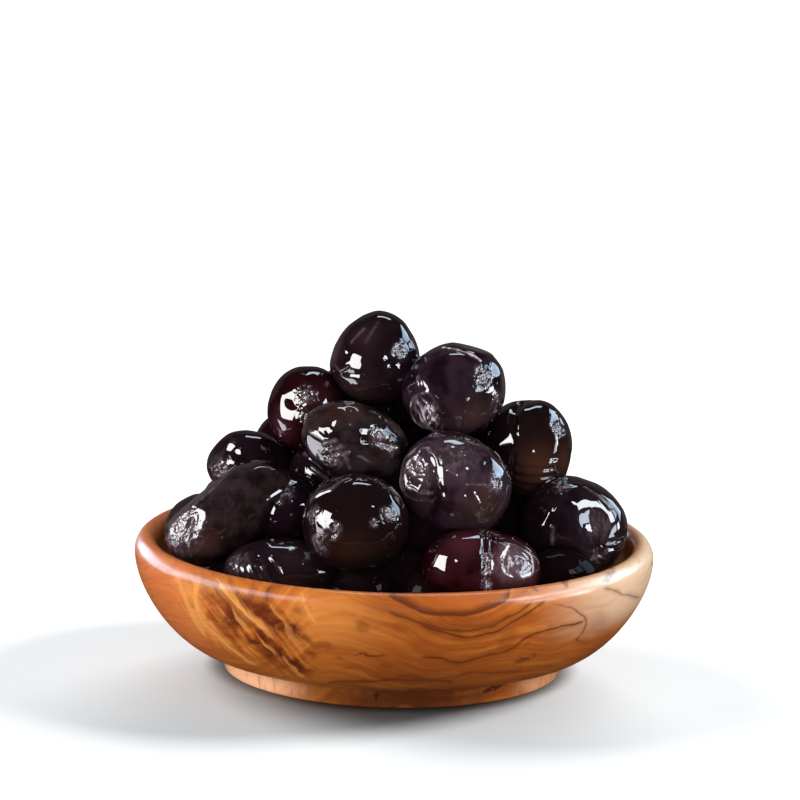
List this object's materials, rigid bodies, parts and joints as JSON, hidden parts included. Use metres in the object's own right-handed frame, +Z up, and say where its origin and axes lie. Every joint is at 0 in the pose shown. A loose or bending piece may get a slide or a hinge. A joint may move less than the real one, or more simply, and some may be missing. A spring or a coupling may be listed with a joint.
{
  "type": "dish of olives",
  "caption": "Shallow turned wooden dish on a low foot, heaped above its rim with glossy dark table olives of uneven size.",
  "frame": {"origin": "centre of the dish's foot, on the surface it stands on", "axes": "+Z up out of the dish, +X to the right and -Y towards the viewer of the heap's front"},
  "size_m": [0.12, 0.12, 0.0828],
  "materials": {
    "olive_wood": "polished honey-brown olive wood with dark wavy grain lines and a reddish cast",
    "olive_skin": "wet glossy near-black skin with plum and brown tints, smooth with puckered ends"
  },
  "bodies": {
    "root": {"dish": "olive_wood", "olives": "olive_skin"}
  },
  "joints": []
}
